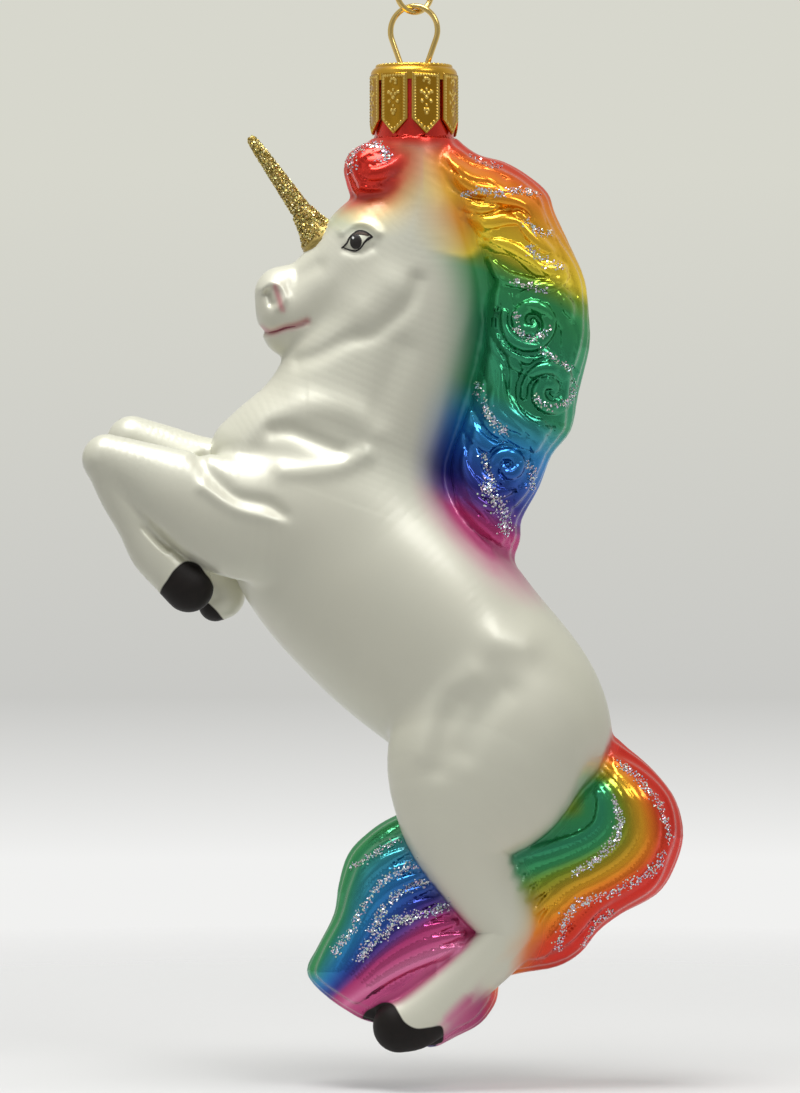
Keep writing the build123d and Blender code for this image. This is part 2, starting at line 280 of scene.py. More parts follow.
# Painted hooves: an outline in the picture, and the side of the leg that has it, near side minus
HOOF_FORE_NEAR = [
    (162, 592), (170, 579), (177, 569), (188, 561), (200, 564), (207, 573), (213, 581), (217, 596),
    (210, 612), (198, 622), (178, 620), (163, 608),
]
HOOF_FORE_FAR = [(188, 602), (202, 600), (212, 607), (219, 615), (224, 625), (212, 634), (192, 628)]
HOOF_HIND = [
    (364, 1012), (374, 1004), (383, 999), (393, 1000), (399, 1008), (405, 1017), (416, 1023), (430, 1022),
    (442, 1022), (442, 1042), (428, 1058), (400, 1062), (374, 1052), (362, 1032),
]
HOOVES = {
    "hoof_fore_near": (HOOF_FORE_NEAR, -1), "hoof_fore_far": (HOOF_FORE_FAR, 1),
    "hoof_hind_near": (HOOF_HIND, -1), "hoof_hind_far": (HOOF_HIND, 1),
}
HOOF_MARGIN = 2
LEG_FROM = 8

# Lacquers, in everyday 0 to 255 steps
LACQUER_RED = (220, 44, 28)
SCARLET = (224, 66, 26)
ORANGE = (250, 138, 30)
AMBER = (238, 170, 34)
YELLOW = (255, 226, 58)
OLIVE = (168, 150, 28)
LIME = (122, 156, 36)
GREEN = (56, 156, 92)
EMERALD = (44, 146, 104)
TEAL = (48, 146, 158)
AZURE = (34, 128, 190)
BLUE = (34, 84, 172)
INDIGO = (42, 42, 136)
VIOLET = (104, 60, 146)
MAGENTA = (184, 52, 118)
ROSE = (206, 84, 140)
PINK = (232, 130, 176)

# The mane changes colour down a slant; each lobe of the tail changes from its outer to its inner edge
MANE_TILT = 0.5
MANE_MIDDLE = 500
MANE_RAMP = [
    (150, LACQUER_RED), (168, SCARLET), (185, ORANGE), (212, AMBER), (250, YELLOW), (264, LIME),
    (282, GREEN), (340, EMERALD), (398, EMERALD), (418, TEAL), (442, AZURE), (476, BLUE),
    (500, INDIGO), (516, VIOLET), (532, MAGENTA), (560, ROSE), (590, PINK),
]
CREST_SHIFT = 40
CREST_PX = (460, 485)
CREST_TOP_PX = (190, 225)
CREST_END_PX = (245, 275)
TAIL_TOP_PX = 715
TAIL_MIDDLE = 488
TAIL_RIGHT_RAMP = [
    (0.1, LACQUER_RED), (0.24, SCARLET), (0.36, ORANGE), (0.46, AMBER), (0.6, OLIVE), (0.72, LIME),
    (0.82, GREEN), (1.0, EMERALD),
]
TAIL_LEFT_RAMP = [
    (0.0, GREEN), (0.08, EMERALD), (0.18, TEAL), (0.34, AZURE), (0.5, BLUE), (0.6, INDIGO),
    (0.68, VIOLET), (0.76, MAGENTA), (0.9, ROSE), (1.0, PINK),
]
TAIL_FOOT_PX = (972, 992)
TAIL_FOOT_X = 436
TAIL_FOOT_TILT = 0.6
TAIL_FOOT_RAMP = [(440, PINK), (465, ROSE), (480, MAGENTA), (497, SCARLET)]

# How far the sprayed lacquer drifts over the white, in pixels
MANE_HALO = 58
FORELOCK_HALO = 54
FORELOCK_REACH = 40
TAIL_HALO = 16
UNDER_CAP_PX = (141, 170)
UNDER_CAP_SILVER = 0.8
SILVER_EDGE = (1, 13)

# Glitter glued on in streaks: a line, its half width and how thickly it is strewn
GLITTER = [
    ([(352, 170), (352, 158), (362, 149), (376, 147), (387, 155), (382, 164)], 6, 1.6),
    ([(462, 198), (480, 194), (500, 197), (520, 193), (536, 197)], 4, 1.2),
    ([(470, 158), (486, 164), (500, 170)], 4, 0.6),
    ([(525, 224), (534, 232), (548, 236)], 5, 1.2),
    ([(528, 250), (540, 262), (560, 268)], 6, 1.2),
    ([(512, 284), (530, 288), (545, 294)], 4, 1.0),
    ([(514, 318), (518, 334), (532, 342), (548, 332)], 4, 1.0),
    ([(540, 352), (556, 362), (568, 370)], 4, 1.0),
    ([(534, 398), (542, 406), (560, 406), (572, 396), (572, 380)], 4, 0.9),
    ([(477, 384), (484, 408), (492, 422), (504, 434)], 5, 1.3),
    ([(482, 456), (488, 474), (492, 486)], 5, 1.0),
    ([(526, 462), (532, 476), (530, 490)], 5, 1.1),
    ([(484, 486), (494, 502), (504, 516), (506, 532)], 8, 2.4),
    ([(618, 762), (640, 780), (658, 806), (668, 836)], 4, 1.2),
    ([(662, 850), (650, 868), (628, 880), (604, 892), (578, 900)], 5, 1.1),
    ([(612, 796), (618, 818), (612, 838), (594, 856), (572, 870)], 5, 1.4),
    ([(572, 902), (562, 922), (556, 946)], 5, 1.2),
    ([(612, 908), (594, 922), (584, 944)], 4, 1.0),
    ([(398, 838), (376, 850), (352, 866)], 4, 0.9),
    ([(416, 862), (390, 874), (368, 896), (350, 930), (334, 950)], 5, 1.1),
    ([(428, 878), (402, 888), (380, 912), (372, 930)], 5, 1.3),
    ([(448, 902), (420, 912), (396, 918), (376, 938), (360, 954)], 6, 1.7),
]
SEED = 7
FLAKE_SIDES = 6
FLAKE_RADIUS = 0.00012
FLAKE_THICKNESS = 0.00004
FLAKE_SIZES = (0.7, 1.3)
GLITTER_DENSITY = 2.3
GLITTER_TIP = 0.45
SPARKLES = [
    (226, 232, 236), (236, 240, 240), (214, 196, 226), (190, 214, 236), (232, 204, 214), (214, 230, 206),
]

# The painted eye and mouth: lines with a half width at each point
LASH_LINES = [
    [(342, 250.5, 0.7), (347, 246, 0.8), (350, 240.5, 0.9), (354, 236.5, 1.0), (359, 233.8, 1.1),
     (365, 234.4, 1.0), (370, 237.5, 0.9), (373, 240, 0.6)],
    [(344, 250, 0.5), (350, 252.2, 0.7), (356, 253.4, 0.8), (361, 250.5, 0.8), (365, 245, 0.9),
     (369, 241.4, 1.3), (373, 239.6, 0.7)],
]
LID_LINE = [(354, 237.4, 0.5), (359, 235.7, 1.5), (364, 236.2, 1.6), (369, 238.2, 0.7)]
PUPIL = (356.3, 244.3, 5.8, 7.4)
GLINT = (353.6, 240.6, 1.1, 1.3)
DOT_REACH = 0.98
DOT_ROWS = 9
MOUTH_LINE = [(269, 333.2, 0.3), (278, 331.6, 0.8), (286, 329, 0.8), (296, 327.2, 0.3)]
PAINT_LIFT = 0.00006
PAINT_SINK = 0.0002

# The horn and its glue, from the forehead to the tip, and their glitter
HORN_FOOT_PX = (319, 236)
HORN_TIP_PX = (250, 137)
HORN_RADII = [
    (-0.10, 0.00150), (0.0, 0.00150), (0.18, 0.00136), (0.5, 0.00106), (0.85, 0.00074), (0.97, 0.00056),
    (1.0, 0.00022),
]
GLUE_RADII = [
    (-0.09, 0.0031), (-0.02, 0.0030), (0.04, 0.00245), (0.10, 0.0020), (0.17, 0.00172), (0.24, 0.00148),
    (0.25, 0.0008),
]
HORN_ROUGHNESS = 0.00009
HORN_FLAKES = 3600
GLUE_FLAKES = 1400
HORN_FLAKE_RADIUS = 0.00014
HORN_FLAKE_TIP = 0.7
GOLDS = [
    (226, 200, 116), (190, 166, 84), (244, 230, 176), (150, 134, 70), (206, 204, 136), (176, 148, 84),
]

# The stamping of the cap's petals, in metres: places are across the petal and down from its root
PETALS = 8
CAP_TURN = -6.0
SKIN_TOP = 0.0011
PETAL_HALF_WIDTH = 0.00198
PETAL_SHOULDER = 0.0064
PETAL_LENGTH = 0.0083
PETAL_TIP = 0.03
PETAL_ROWS = 60
PETAL_COLUMNS = 30
SKIN_LIFT = 0.00003
SKIN_DEPTH = 0.00012
BEAD_RADIUS = 0.00019
BEAD_HEIGHT = 0.00017
BEAD_PITCH = 0.00043
BEAD_INSET = 0.00034
TOP_BEADS = 3
TOP_BEAD_ROW = BEAD_PITCH * 0.9
EDGE_RIDGE = 0.00010
EDGE_WIDTH = BEAD_RADIUS * 0.7
MOTIF = [
    (-0.00042, 0.00120, 0.00020), (-0.00022, 0.00086, 0.00021), (0.00014, 0.00080, 0.00022),
    (0.00040, 0.00108, 0.00021), (0.00034, 0.00146, 0.00019), (0.0, 0.00240, 0.00020),
    (0.0, 0.00345, 0.00027), (0.0, 0.00455, 0.00020), (0.0, 0.00565, 0.00024),
]
MOTIF_PAIRS = [
    (0.00072, 0.00268, 0.00026), (0.00030, 0.00292, 0.00022), (0.00066, 0.00400, 0.00024),
    (0.00024, 0.00520, 0.00022),
]
RIM_BEADS = 44
# How much painted highlight the beads on the cap's rim take, from 0 to 1
RIM_BEAD_PAINTED_HIGHLIGHT = 0.7
CAP_SHEET = 0.0003
RIM_BEAD_RADIUS = 0.00030
RIM_BEAD_SINK = RIM_BEAD_RADIUS * 0.8

# Shells of the figure in the order of its fields: piece, the node that it stands for, and slot
SHELLS = [
    ("body_shell", "glass_body", "pearl_lacquer"), ("mane_shell", "mane", "rainbow_lacquer"),
    ("forelock_shell", "forelock", "red_lacquer"), ("tail_shell", "tail", "rainbow_lacquer"),
]

# Colours of the pearl, the blush and the hoof paint
PEARL_COOL = (0.76, 0.76, 0.63)
PEARL_WARM = (0.81, 0.79, 0.65)
BLUSH_PINK = (206, 118, 128)
HOOF_DARK = (0.004, 0.003, 0.002)
HOOF_BROWN = (0.012, 0.008, 0.007)

# Finish of the lacquer, from pearl to bare silver, and of the hooves, from pearl to paint
PEARL_TO_SILVER = {"Metallic": (0.2, 0.78), "Roughness": (0.40, 0.2), "Coat_Weight": (0.45, 0.3)}
PEARL_TO_HOOF = {"Metallic": (0.2, 0.0), "Roughness": (0.42, 0.56)}
HOOF_EDGE = (-0.7, 0.7)
HOOF_SPECULAR = 0.25
COAT_ROUGHNESS = 0.2

# Scales of the grain in the finishes, its finer detail, and bumps: strength and depth
PEARL_GRAIN = 70
HOOF_GRAIN = 900
LACQUER_GRAIN = 1400
FOIL_GRAIN = 3000
FINE_DETAIL = 3
LACQUER_BUMP = (0.06, 0.0001)
GRAIN_BUMP = (0.08, 0.00008)

# Foil flakes, and plain finishes: two tones, scale of the grain, metallic, roughness, and the attribute of
# the mesh that chooses the tone where the grain doesn't
FOIL_METALLIC = 0.85
FOIL_ROUGHNESS = (0.16, 0.34)
ROUGHNESS_SPREAD = (0.75, 1.25)
FINISHES = {
    "eye_black": ((16, 13, 12), (34, 28, 25), 1500, 0.0, 0.3),
    "lid_brown": ((74, 58, 48), (96, 78, 66), 1500, 0.0, 0.45),
    "glint_white": ((226, 226, 222), (240, 240, 236), 1500, 0.0, 0.35),
    "mouth_pink": ((150, 66, 78), (176, 92, 102), 1500, 0.0, 0.45),
    "horn_gold": ((150, 128, 64), (204, 180, 106), 2600, 0.6, 0.4),
    "cap_gold": ((196, 146, 44), (222, 176, 70), 500, 1.0, 0.3),
    # The stamping's gold runs from a dark tone on the flat to a bright one on the raised beads and ridges, by
    # their height: a painted highlight
    "stamp_gold_painted_highlight": ((176, 130, 36), (246, 214, 120), 500, 1.0, 0.26, "stamp"),
    "wire_gold": ((206, 172, 96), (226, 198, 128), 400, 1.0, 0.2),
}

# The photographer's table: camera, floor, backdrop, room and lamps
CAMERA_DISTANCE = 0.75
CAMERA_NEAREST = 0.05
SENSOR_HEIGHT = 24.0
FLOOR_PX = 1088
FLOOR_REACH = 0.8
FLOOR_FADE = (0.048, 0.36)
FLOOR_WHITE = (0.95, 0.95, 0.94, 1)
FLOOR_ROUGHNESS = 0.6
SWEEP_RISE = (-0.058, -0.028)
WALL_RISE = (-0.03, 0.07)
TABLE_WHITE = (0.88, 0.88, 0.87)
WALL_LOW = (0.58, 0.58, 0.56)
WALL_HIGH = (0.68, 0.68, 0.61)
ROOM = (0.42, 0.42, 0.41)
ROOM_TURN = (-0.55, 0.25)
SKY_LOW = (0.08, 0.08, 0.08)
SKY_HIGH = (0.14, 0.14, 0.14)
SKY_RISE = (-0.6, 0.8)
LAMP_AIM = (0.0, 0.0, -0.08)
LAMPS = [
    ("softbox_above", (-0.08, -0.13, 0.42), 0.30, 2.6),
    ("window_left", (-0.55, -0.45, 0.15), 0.35, 0.12),
    ("lamp_right", (0.30, -0.42, 0.38), 0.22, 0.9),
]

# Sockets of a colour mix: its two colours, and its result
MIX_COLOURS = (6, 7)
MIX_RESULT = 2


def to_metres(points):
    """Points in pixels and depth, put in the object's frame in metres."""
    points = np.asarray(points, dtype=float)
    across = (points[:, 0] - NECK_AXIS_PX) * PIXEL
    depth = points[:, 1] * PIXEL
    height = RIM_Z - (points[:, 2] - RIM_PX) * PIXEL
    return np.stack([across, depth, height], axis=1)


def smooth_rows(rows, steps, closed=False):
    """A smooth line through rows of numbers, with so many steps from each row to the next."""
    rows = np.asarray(rows, dtype=float)
    count = len(rows)
    around = np.arange(count if closed else count - 1)[:, None] + np.arange(-1, 3)
    around = around % count if closed else np.clip(around, 0, count - 1)
    share = np.arange(steps)[:, None] / steps
    out = []
    for before, here, there, after in rows[around]:
        out.append(0.5 * (2 * here + (there - before) * share
                          + (2 * before - 5 * here + 4 * there - after) * share ** 2
                          + (3 * here - before - 3 * there + after) * share ** 3))
    if not closed:
        out.append(rows[-1:])
    return np.concatenate(out)


def blend(first, second, reach):
    """The union of two fields with a soft fillet of the given reach."""
    share = np.clip(0.5 + 0.5 * (second - first) / reach, 0, 1)
    return second * (1 - share) + first * share - reach * share * (1 - share)


def rise(values, low, high):
    """A smooth step from 0 at the low value to 1 at the high one."""
    share = np.clip((values - low) / (high - low), 0, 1)
    return share * share * (3 - 2 * share)


def chain_field(points, stations, steps=LIMB_STEPS):
    """Distance to a tapered round form through its stations, in pixels."""
    dense = smooth_rows(stations, steps)
    reach = dense[:, 3:].max() + FAR / 2
    low = dense[:, :3].min(axis=0) - reach
    high = dense[:, :3].max(axis=0) + reach
    near = np.all((points > low) & (points < high), axis=1)
    inside = points[near]
    best = np.full(len(inside), FAR)
    for start, end in zip(dense[:-1], dense[1:]):
        axis = end[:3] - start[:3]
        offset = inside - start[:3]
        along = np.clip(offset @ axis / (axis @ axis), 0, 1)
        offset -= along[:, None] * axis
        half_height = start[3] + along * (end[3] - start[3])
        half_depth = start[4] + along * (end[4] - start[4])
        plane = np.hypot(offset[:, 0], offset[:, 2])
        depth = np.abs(offset[:, 1])
        ratio = np.hypot(plane / half_height, depth / half_depth)
        slope = np.hypot(plane / half_height ** 2, depth / half_depth ** 2) + TINY
        best = np.minimum(best, ratio * (ratio - 1) / slope)
    out = np.full(len(points), FAR)
    out[near] = best
    return out


def mirrored(stations):
    """The same form on the far side."""
    return [(x, -depth, y, height, width) for x, depth, y, height, width in stations]


def segment_distance(spots, line, closed=False):
    """Distance from each spot to a polyline in the picture plane, and where along it (0 to 1)."""
    ends = np.roll(line, -1, axis=0) if closed else line[1:]
    starts = line if closed else line[:-1]
    best = np.full(len(spots), np.inf)
    place = np.zeros(len(spots))
    for index, (start, end) in enumerate(zip(starts, ends)):
        run = end - start
        offset = spots - start
        along = np.clip(offset @ run / (run @ run + TINY), 0, 1)
        far = np.hypot(*(offset - along[:, None] * run).T)
        closer = far < best
        best = np.where(closer, far, best)
        place = np.where(closer, (index + along) / len(starts), place)
    return best, place


class PictureMap:
    """Numbers on the picture plane, one for each pixel, read smoothly in between."""

    def __init__(self, fill=0.0):
        self.low = FIELD_LOW[[0, 2]].astype(int)
        self.size = (FIELD_HIGH[[0, 2]] - FIELD_LOW[[0, 2]]).astype(int) + 2
        self.values = np.full(self.size, fill)

    def window(self, line, reach):
        """The part of the map around a line: its slices, and its pixels as spots."""
        low = np.clip((line.min(axis=0) - reach - self.low).astype(int), 0, self.size - 1)
        high = np.clip((line.max(axis=0) + reach - self.low).astype(int) + 1, 1, self.size)
        grid = np.mgrid[low[0]:high[0], low[1]:high[1]]
        spots = grid.reshape(2, -1).T + self.low
        return (slice(low[0], high[0]), slice(low[1], high[1])), spots.astype(float), grid.shape[1:]

    def read(self, points):
        """The map's value at each point's place in the picture."""
        spot = np.clip(points[:, [0, 2]] - self.low, 0, self.size - 1.001)
        cell = spot.astype(int)
        share = spot - cell
        x, y = cell.T
        u, v = share.T
        values = self.values
        return (values[x, y] * (1 - u) * (1 - v) + values[x + 1, y] * u * (1 - v)
                + values[x, y + 1] * (1 - u) * v + values[x + 1, y + 1] * u * v)


def outline_map(outline):
    """Signed distance to a closed outline in the picture: minus inside."""
    line = smooth_rows(outline, steps=4, closed=True)
    result = PictureMap(FAR)
    part, spots, shape = result.window(line, FAR)
    far, _ = segment_distance(spots, line, closed=True)
    ends = np.roll(line, -1, axis=0)
    inside = np.zeros(len(spots), dtype=bool)
    for (x0, y0), (x1, y1) in zip(line, ends):
        crosses = (y0 > spots[:, 1]) != (y1 > spots[:, 1])
        climb = y1 - y0 if abs(y1 - y0) > TINY else TINY
        inside ^= crosses & (spots[:, 0] < x0 + (spots[:, 1] - y0) / climb * (x1 - x0))
    result.values[part] = np.where(inside, -far, far).reshape(shape)
    return result


def hair_field(points, outline, swell, narrowing=1.0):
    """Distance to hair that swells from its outline over the width of its edge, with its strands on it."""
    half_depth, edge = swell
    comb = points[:, 1] * 2 * math.pi / RIDGE_PITCH + RIDGE_SWAY * np.sin(points[:, 2] / RIDGE_WAVE)
    level = np.clip((edge + outline.read(points) - RIDGE_HEIGHT * np.cos(comb)) / edge, 0, None)
    depth = half_depth * narrowing + strands.read(points)
    across = np.abs(points[:, 1])
    ratio = np.hypot(level, across / depth)
    slope = np.hypot(level / edge, across / depth ** 2) + TINY
    return np.minimum(ratio * (ratio - 1) / slope, FAR)


def between(edges, count):
    """Strands laid evenly from one edge line to the other."""
    first, last = (np.array(edge, dtype=float) for edge in edges)
    return [first + (last - first) * k / (count - 1) for k in range(count)]


def curl(centre_x, centre_y, radius, leave, turns):
    """A curl's spiral, from where its lock leaves it to its eye."""
    share = np.linspace(0, 1, CURL_POINTS)[:, None]
    angle = math.radians(leave) + 2 * math.pi * turns * share
    reach = radius * (1 - CURL_CLOSING * share)
    return np.concatenate([centre_x + reach * np.cos(angle), centre_y + reach * np.sin(angle)], axis=1)


def add_strand(relief, line, width, height, steps=LINE_STEPS):
    """A round ridge along a line, tapered at its ends; where ridges meet, the higher one shows."""
    line = smooth_rows(line, steps)
    part, spots, shape = relief.window(line, width)
    far, place = segment_distance(spots, line)
    taper = np.clip(np.minimum(place, 1 - place) * TAPER_RATE, TAPER_LEAST, 1) ** 0.5
    ridge = height * taper * np.sqrt(np.clip(1 - (far / (width * taper)) ** 2, 0, 1))
    relief.values[part] = np.maximum(relief.values[part], ridge.reshape(shape))


def strand_map():
    """Height of the combed and curled hair over its plain swell."""
    relief = PictureMap()
    locks = PictureMap()
    for line in MANE_LOCKS:
        add_strand(locks, line, LOCK_WIDTH, LOCK_HEIGHT)
    lobes = between(TAIL_RIGHT_EDGES, TAIL_RIGHT_COUNT) + between(TAIL_LEFT_EDGES, TAIL_LEFT_COUNT)
    for line in MANE_STRANDS + FORELOCK_STRANDS + TAIL_STRANDS + lobes:
        add_strand(relief, line, STRAND_WIDTH, STRAND_HEIGHT)
    for x, y, radius, leave, turns in MANE_CURLS:
        far = np.hypot(*(np.mgrid[0:relief.size[0], 0:relief.size[1]]
                         + (relief.low - np.array([x, y]))[:, None, None]))
        relief.values[far < radius + CURL_WIDTH] = 0
        add_strand(relief, curl(x, y, radius, leave, turns), CURL_WIDTH, CURL_HEIGHT, steps=2)
    relief.values += locks.values
    return relief


def soft_lines(lines):
    """A map of soft ridges and grooves, each a line with its half width and height."""
    relief = PictureMap()
    for line, width, height in lines:
        line = smooth_rows(line, LINE_STEPS)
        part, spots, shape = relief.window(line, width * SOFT_REACH)
        far, _ = segment_distance(spots, line)
        relief.values[part] += (height * np.exp(-(far / width) ** 2)).reshape(shape)
    return relief


strands = strand_map()
muscle = soft_lines(MUSCLES)
blush = soft_lines(BLUSHES)
mane_outline = outline_map(MANE_LINE)
forelock_outline = outline_map(FORELOCK_LINE)
tail_right_outline = outline_map(TAIL_RIGHT_LINE)
tail_left_outline = outline_map(TAIL_LEFT_LINE)


def body_field(points):
    """The white body: trunk, neck, head and legs."""
    trunk, neck, head = (chain_field(points, form, TRUNK_STEPS) for form in (TORSO, NECK, HEAD))
    result = blend(trunk, neck, NECK_FILLET)
    result = blend(result, chain_field(points, CHEST), CHEST_FILLET)
    head = blend(head, chain_field(points, NOSE), NOSE_FILLET)
    head = blend(head, chain_field(points, CHIN), CHIN_FILLET)
    result = blend(result, head, HEAD_FILLET)
    for arm, shin in ((FORELEG_NEAR, CANNON_NEAR), (FORELEG_FAR, CANNON_FAR)):
        leg = blend(chain_field(points, arm), chain_field(points, shin), KNEE_FILLET)
        result = blend(result, leg, FORELEG_FILLET)
    for leg in (HIND_LEG, mirrored(HIND_LEG)):
        result = blend(result, chain_field(points, leg), HIND_LEG_FILLET)
    return result - muscle.read(points)


def hair_fields(points):
    """The mane, the forelock and the tail."""
    end = 1 - END_SHARE * rise(points[:, 2], *MANE_END_PX)
    root = 1 - END_SHARE * (1 - rise(points[:, 2], *TAIL_ROOT_PX))
    mane = hair_field(points, mane_outline, MANE_SWELL, end)
    forelock = hair_field(points, forelock_outline, FORELOCK_SWELL)
    right = hair_field(points, tail_right_outline, TAIL_RIGHT_SWELL, root)
    left = hair_field(points, tail_left_outline, TAIL_LEFT_SWELL)
    return mane, forelock, blend(right, left, LOBE_FILLET)


def figure_field(points):
    """The whole glass figure, with its neck and the neck's bore."""
    mane, forelock, tail = hair_fields(points)
    result = blend(body_field(points), blend(mane, forelock, FORELOCK_FILLET), MANE_FILLET)
    result = blend(result, tail, TAIL_FILLET)
    from_axis = np.hypot(points[:, 0] - NECK_AXIS_PX, points[:, 1])
    height = points[:, 2]
    result = np.maximum(result, np.minimum(CAP_ROOM_RADIUS - from_axis, CAP_ROOM_END - height))
    tube = np.maximum(from_axis - NECK_RADIUS, np.maximum(RIM_PX - height, height - NECK_FLARE_PX))
    result = np.minimum(result, tube)
    return np.maximum(result, np.minimum(BORE_RADIUS - from_axis, BORE_END - height))


def in_pieces(function, points, count=200000):
    """A field at many points, worked out a batch at a time."""
    return np.concatenate([function(points[k:k + count]) for k in range(0, len(points), count)])


def sculpt():
    """The figure's closed surface: points in pixels, outward normals in the object's frame, and quads."""
    cell = VOXEL * 2 ** HALVINGS
    low = FIELD_LOW.copy()
    counts = np.ceil((FIELD_HIGH - FIELD_LOW) / cell).astype(int) + 1
    axes = [low[k] + cell * np.arange(counts[k]) for k in range(3)]
    grid = np.stack(np.meshgrid(*axes, indexing="ij"), axis=-1).reshape(-1, 3)
    values = in_pieces(figure_field, grid).reshape(counts)
    for _ in range(HALVINGS):
        values = values.repeat(2, 0).repeat(2, 1).repeat(2, 2)
        close = np.argwhere(np.abs(values) < cell * NEAR_CELLS)
        low = low - cell / 4
        cell = cell / 2
        values[tuple(close.T)] = in_pieces(figure_field, low + close * cell)
    volume = openvdb.FloatGrid(FAR)
    volume.copyFromArray(np.clip(values, -FAR, FAR).astype(np.float32))
    spots, quads = volume.convertToQuads(0.0)
    points = low + spots.astype(float) * cell
    for _ in range(SURFACE_PULLS):
        value, slope = value_and_slope(points)
        pull = value / np.maximum((slope ** 2).sum(axis=1), LEAST_SLOPE)
        points = points - slope * np.clip(pull, -VOXEL, VOXEL)[:, None]
    normals = value_and_slope(points)[1] * (1, 1, -1)
    normals /= np.linalg.norm(normals, axis=1)[:, None] + TINY
    return points, normals, quads[:, ::-1]


def value_and_slope(points, step=0.4):
    """The figure's field and its slope at each point, from four taps around it."""
    value = np.zeros(len(points))
    slope = np.zeros_like(points)
    for corner in np.array([(1, 1, 1), (1, -1, -1), (-1, 1, -1), (-1, -1, 1)]):
        tap = in_pieces(figure_field, points + step * corner)
        value += tap / 4
        slope += tap[:, None] * corner / (4 * step)
    return value, slope


def linear(red, green, blue):
    """A colour written in everyday 0 to 255 steps, as light."""
    shares = np.array([red, green, blue]) / 255
    return np.where(shares <= 0.04045, shares / 12.92, ((shares + 0.055) / 1.055) ** 2.4)


def ramp(places, stops):
    """The colour at each place on a row of colour stops."""
    at = [place for place, _ in stops]
    colours = np.array([linear(*colour) for _, colour in stops])
    return np.stack([np.interp(places, at, colours[:, k]) for k in range(3)], axis=1)


def lacquer_colours(points):
    """The clear lacquer's colour at each point: down the mane, and across each lobe of the tail."""
    spots = points[:, [0, 2]]
    crest = rise(spots[:, 1], *CREST_TOP_PX) * (1 - rise(spots[:, 1], *CREST_END_PX))
    crest *= 1 - rise(spots[:, 0], *CREST_PX)
    down = spots[:, 1] - MANE_TILT * (spots[:, 0] - MANE_MIDDLE) - CREST_SHIFT * crest
    colours = ramp(down, MANE_RAMP)
    lobes = ((TAIL_RIGHT_EDGES, TAIL_RIGHT_RAMP, 1), (TAIL_LEFT_EDGES, TAIL_LEFT_RAMP, -1))
    for edges, stops, side in lobes:
        outer, inner = (segment_distance(spots, smooth_rows(edge, steps=3))[0] for edge in edges)
        mine = (spots[:, 1] > TAIL_TOP_PX) & ((spots[:, 0] - TAIL_MIDDLE) * side >= 0)
        colours[mine] = ramp(outer / (outer + inner + TINY), stops)[mine]
    low = rise(spots[:, 1] - TAIL_FOOT_TILT * (spots[:, 0] - TAIL_MIDDLE), *TAIL_FOOT_PX)[:, None]
    low *= (spots[:, 0] > TAIL_FOOT_X)[:, None]
    foot = ramp(spots[:, 0], TAIL_FOOT_RAMP)
    return colours * (1 - low) + foot * low


def figure_paint(points):
    """The paint at each point: lacquer, how much of it shows, bare silver and blush; and the four fields."""
    body = in_pieces(body_field, points)
    mane, forelock, tail = hair_fields(points)
    halo = np.zeros(len(points))
    for hair, reach in ((mane, MANE_HALO), (forelock, FORELOCK_HALO), (tail, TAIL_HALO)):
        halo = np.maximum(halo, 1 - rise(hair, 0, reach))
    under_cap = 1 - rise(points[:, 2], *UNDER_CAP_PX)
    hair = np.minimum(np.minimum(mane, forelock), tail)
    silver = rise(body - hair, *SILVER_EDGE)
    colours = lacquer_colours(points)
    near_forelock = rise(FORELOCK_REACH - forelock, 0, FORELOCK_REACH) * (mane > forelock)
    red = np.maximum(near_forelock, under_cap)[:, None]
    colours = colours * (1 - red) + linear(*LACQUER_RED) * red
    return {
        "lacquer": colours,
        "tint": np.maximum(halo, under_cap),
        "silver": np.maximum(silver, under_cap * UNDER_CAP_SILVER),
        "blush": np.clip(blush.read(points), 0, 1) * (np.abs(points[:, 1]) > BLUSH_FROM),
    }, body, mane, forelock, tail


def hoof_reach(points, outline, side):
    """Signed distance to a hoof's painted outline for points on its own leg, in pixels: minus inside."""
    return np.where(points[:, 1] * side > LEG_FROM, outline_map(outline).read(points), FAR)


def place_mesh(name, points, faces, body, material, nodes=(), normals=None):
    """A smooth mesh piece that rides on a body, takes a slot and may stand for CAD nodes."""
    mesh = bpy.data.meshes.new(name)
    mesh.from_pydata([tuple(p) for p in points], [], [tuple(int(i) for i in f) for f in faces])
    mesh.shade_smooth()
    if normals is not None:
        mesh.normals_split_custom_set_from_vertices([tuple(n) for n in normals])
    mesh.materials.append(material)
    piece = bpy.data.objects.new(name, mesh)
    bpy.context.collection.objects.link(piece)
    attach(piece, body)
    if nodes:
        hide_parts(*nodes)
    return piece


def add_attribute(mesh, name, values):
    """A number or a colour for each point of a mesh, for its material to read."""
    if values.ndim == 1:
        mesh.attributes.new(name, "FLOAT", "POINT").data.foreach_set("value", values.astype(np.float32))
        return
    rows = np.concatenate([values, np.ones((len(values), 1))], axis=1).astype(np.float32)
    mesh.attributes.new(name, "FLOAT_COLOR", "POINT").data.foreach_set("color", rows.ravel())


def grid_quads(rows, columns, round_trip=False):
    """Quads of a sheet of points laid row by row; on a round trip each row's end joins its start."""
    index = np.arange(rows * columns).reshape(rows, columns)
    if round_trip:
        index = np.concatenate([index, index[:, :1]], axis=1)
    corners = (index[:-1, :-1], index[1:, :-1], index[1:, 1:], index[:-1, 1:])
    return np.stack(corners, axis=-1).reshape(-1, 4)


def closed_slab(quads, count):
    """Quads of a sheet of so many points, of its underside, whose points come next, and of walls between."""
    edges = np.concatenate([quads[:, [k, (k + 1) % 4]] for k in range(4)])
    keys = edges[:, 0] * count + edges[:, 1]
    twins = edges[:, 1] * count + edges[:, 0]
    rim = edges[~np.isin(keys, twins)]
    walls = np.stack([rim[:, 1], rim[:, 0], rim[:, 0] + count, rim[:, 1] + count], axis=1)
    return np.concatenate([quads, quads[:, ::-1] + count, walls])


